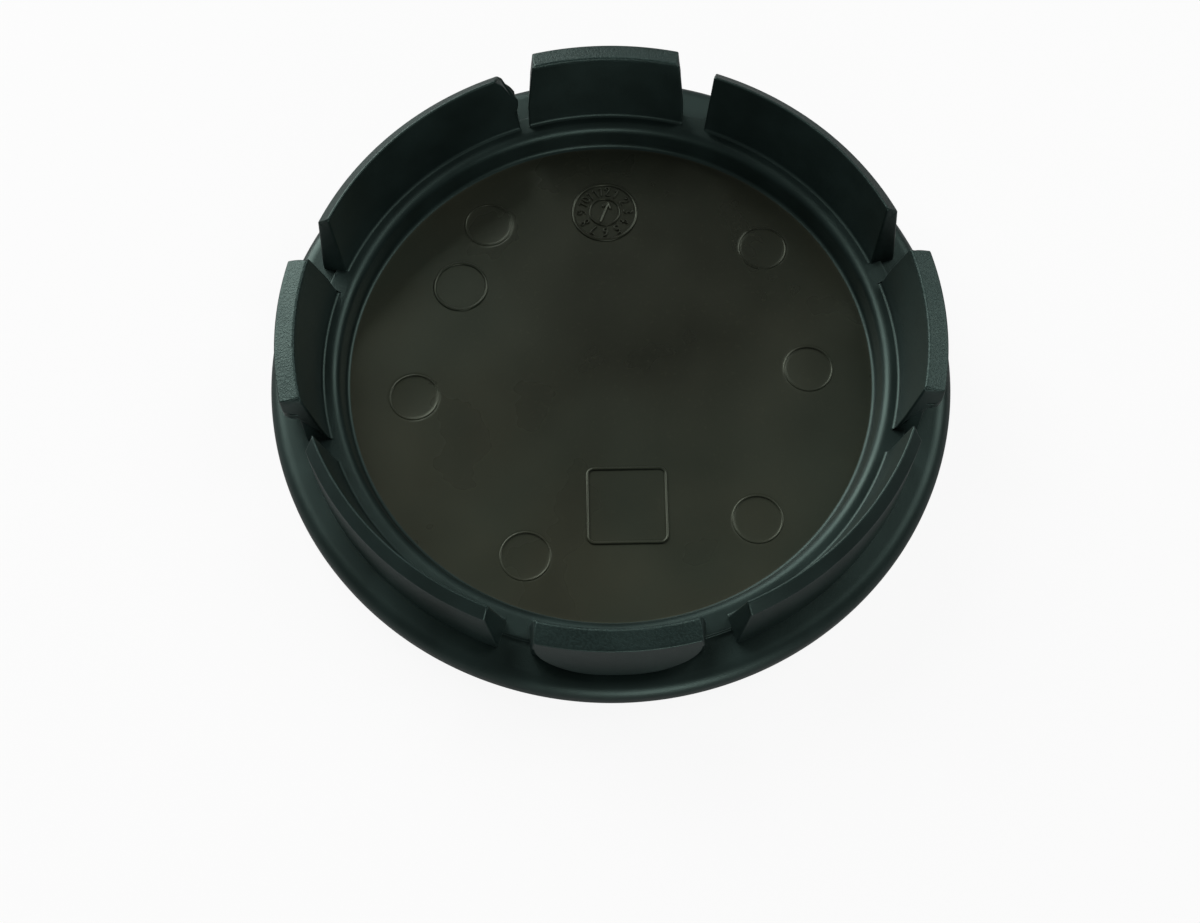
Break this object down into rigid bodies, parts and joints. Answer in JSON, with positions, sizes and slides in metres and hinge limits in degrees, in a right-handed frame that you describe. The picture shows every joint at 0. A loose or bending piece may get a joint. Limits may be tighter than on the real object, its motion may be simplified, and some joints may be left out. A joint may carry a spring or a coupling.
{
  "type": "wheel centre cap",
  "caption": "Snap-in wheel centre cap, bare of any emblem, seen from its claw side: a round cover with a ring of hooked and plain spring claws.",
  "frame": {"origin": "the middle of the front face, on the plane that the cap lies on", "axes": "+Z away from the front face towards the claw tips; +X and +Y through hooked claws"},
  "size_m": [0.056, 0.056, 0.0105],
  "materials": {
    "body_plastic": "semi-matt black"
  },
  "bodies": {
    "root": {"claw_body": "body_plastic"}
  },
  "joints": []
}
